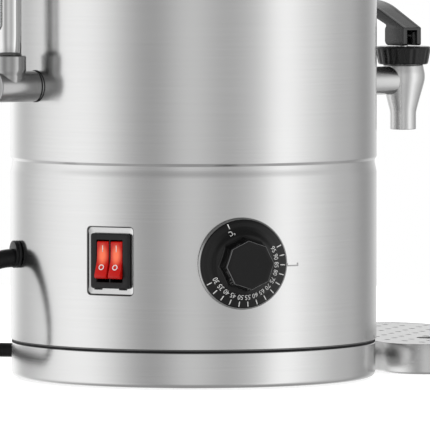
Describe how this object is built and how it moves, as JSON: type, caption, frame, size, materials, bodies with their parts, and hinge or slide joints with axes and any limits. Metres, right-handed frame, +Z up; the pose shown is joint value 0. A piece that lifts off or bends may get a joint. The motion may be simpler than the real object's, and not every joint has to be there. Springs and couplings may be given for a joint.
{
  "type": "hot water urn",
  "caption": "Free-standing stainless hot water urn with a dial thermostat, lit rocker switches, level gauge, self-closing tap, lid, side handles, mains lead and a loose drip tray.",
  "frame": {"origin": "on the table, at the middle of the footprint of urn, handles and drip tray without the mains lead", "axes": "+Z up along the urn's axis; the dial and switches face -Y; the gauge and lead are on the -X side"},
  "size_m": [0.4388, 0.424, 0.4843],
  "materials": {
    "brushed": "brushed round",
    "polished": "polished",
    "satin": "satin",
    "dark": "fine grain",
    "gloss": "gloss",
    "red": "translucent, lit from inside",
    "rubber": "matt",
    "cable": "matt",
    "glass": "clear",
    "silicone": "matt",
    "aluminium": "cast",
    "copper": "drawn copper",
    "bakelite": "moulded"
  },
  "bodies": {
    "urn": {"outer_shell": "brushed", "base_ring": "brushed", "bottom_plate": "satin", "foot_pad_1": "rubber", "foot_pad_2": "rubber", "foot_pad_3": "rubber", "bottom_screw_1": "satin", "bottom_screw_2": "satin", "bottom_screw_3": "satin", "inner_tank": "brushed", "heat_plate": "aluminium", "heating_element": "satin", "overheat_cutout": "bakelite", "thermostat_body": "bakelite", "thermostat_bracket": "satin", "sensor_bulb": "copper", "switch_housing": "dark", "gland_body": "dark", "gland_cap": "dark", "gland_nut": "dark", "cord_coil": "cable", "cord_lead": "cable", "cord_tail": "cable", "plug_body": "cable", "plug_pins": "polished", "tap_body": "satin", "tap_gasket": "rubber", "tap_nut": "satin", "tap_collar": "dark", "tap_spring": "polished", "gauge_lower_fitting": "satin", "gauge_lower_gasket": "rubber", "gauge_lower_nut": "satin", "gauge_lower_seal": "rubber", "gauge_upper_fitting": "satin", "gauge_upper_gasket": "rubber", "gauge_upper_nut": "satin", "gauge_upper_seal": "rubber", "gauge_glass": "glass", "gauge_guard": "polished", "handle_1": "gloss", "handle_2": "gloss", "terminal_block": "bakelite", "supply_wires": "cable", "switch_wires": "cable", "thermostat_wires": "cable", "element_wires": "cable"},
    "dial": {"dial_knob": "gloss", "thermostat_shaft": "satin"},
    "rocker_left": {"rocker_left": "red"},
    "rocker_right": {"rocker_right": "red"},
    "tap_stem": {"tap_stem": "satin", "tap_seat_cup": "silicone", "tap_lever_pin": "polished"},
    "tap_lever": {"tap_lever": "gloss"},
    "lid": {"lid": "brushed", "lid_knob": "gloss", "lid_knob_screw": "polished"},
    "drip_tray": {"drip_tray": "brushed"},
    "drip_grille": {"drip_grille": "brushed"}
  },
  "joints": [
    {"name": "dial_turn", "type": "hinge", "parent": "urn", "child": "dial", "pos_m": [-0.02278, -0.13872, 0.0747], "axis": [0.2588, -0.9659, 0], "range_deg": [-27, 246]},
    {"name": "rocker_left_tip", "type": "hinge", "parent": "urn", "child": "rocker_left", "pos_m": [-0.09669, -0.13763, 0.0757], "axis": [0.8934, -0.4493, 0], "range_deg": [0, 22]},
    {"name": "rocker_right_tip", "type": "hinge", "parent": "urn", "child": "rocker_right", "pos_m": [-0.09669, -0.13763, 0.0757], "axis": [0.8934, -0.4493, 0], "range_deg": [0, 22]},
    {"name": "valve_lift", "type": "slide", "parent": "urn", "child": "tap_stem", "axis": [0, 0, 1], "range_m": [0, 0.0024], "stiffness_N_per_m": 400, "springref_m": -0.01, "deforming": ["tap_spring"]},
    {"name": "tap_press", "type": "hinge", "parent": "tap_stem", "child": "tap_lever", "pos_m": [0.08027, 0.06605, 0.2024], "axis": [-0.766, -0.6428, 0], "range_deg": [0, 25]},
    {"name": "lid_lift", "type": "slide", "parent": "urn", "child": "lid", "axis": [0, 0, 1], "range_m": [0, 0.07]},
    {"name": "tray_slide", "type": "slide", "parent": "urn", "child": "drip_tray", "axis": [0.7431, 0.6691, 0], "range_m": [0, 0.08]},
    {"name": "grille_lift", "type": "slide", "parent": "drip_tray", "child": "drip_grille", "axis": [0, 0, 1], "range_m": [0, 0.04]}
  ],
  "couplings": [
    {"joint": "tap_press", "follows": "valve_lift", "rad_per_m": 180}
  ]
}
